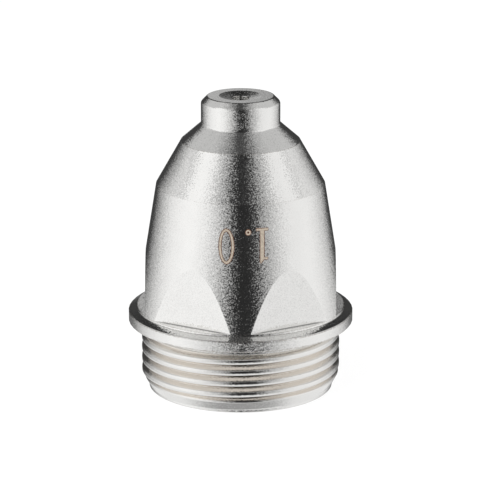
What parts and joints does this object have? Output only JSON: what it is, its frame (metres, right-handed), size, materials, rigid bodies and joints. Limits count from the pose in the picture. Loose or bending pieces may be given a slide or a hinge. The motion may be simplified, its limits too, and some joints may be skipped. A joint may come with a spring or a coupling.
{
  "type": "plasma torch nozzle",
  "caption": "Plated plasma cutting nozzle: tapered body with a cylindrical nose and dished arc orifice, wrench flats, a seating flange and a threaded foot.",
  "frame": {"origin": "on the nozzle's axis, in the plane of its foot", "axes": "+Z along the axis towards the tip; -Y is the side between two wrench flats that carries the size mark"},
  "size_m": [0.02, 0.02, 0.0266],
  "materials": {
    "plating": "satin nickel plating over copper, with turning marks and a light grain"
  },
  "bodies": {
    "root": {"nozzle": "plating"}
  },
  "joints": []
}
